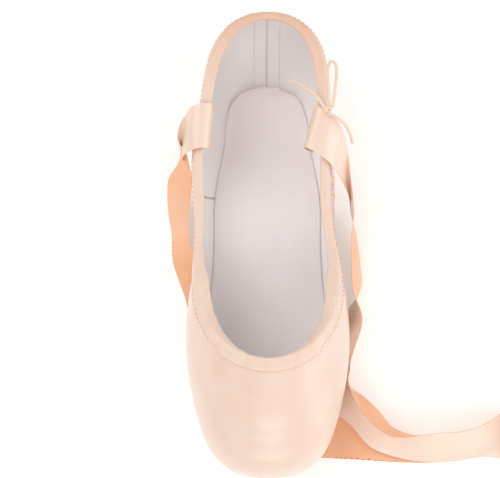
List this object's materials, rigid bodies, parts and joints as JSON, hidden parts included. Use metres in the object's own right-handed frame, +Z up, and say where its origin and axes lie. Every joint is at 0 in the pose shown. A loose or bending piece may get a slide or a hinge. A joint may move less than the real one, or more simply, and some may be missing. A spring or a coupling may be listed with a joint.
{
  "type": "pointe shoe",
  "caption": "Satin ballet pointe shoe with a hard square toe box, open throat, folded collar casing, drawcord bow, thin leather sole and ankle ribbons",
  "frame": {"origin": "on the floor, under the middle of the shoe's length and width, without the ribbons and the drawcord", "axes": "+X from heel to toe, +Y towards the side with the drawcord's bow, +Z up"},
  "size_m": [0.2379, 0.2414, 0.0675],
  "materials": {
    "satin": "pale peach-pink satin with a soft sheen",
    "satin_edging": "the same satin cut on the bias",
    "leather": "thin matt brown sole leather",
    "cotton": "greyish white cotton sock",
    "ribbon_satin": "thin satin ribbon, shiny on its face and dull on its back",
    "drawcord": "thin braided cotton cord"
  },
  "bodies": {
    "root": {"upper": "satin", "collar_binding": "satin_edging", "outsole": "leather", "insole": "cotton", "ribbon_plain_side": "ribbon_satin", "ribbon_bow_side": "ribbon_satin", "drawcord_knot": "drawcord", "drawcord_loop": "drawcord", "drawcord_inner_end": "drawcord", "drawcord_outer_end": "drawcord"}
  },
  "joints": []
}
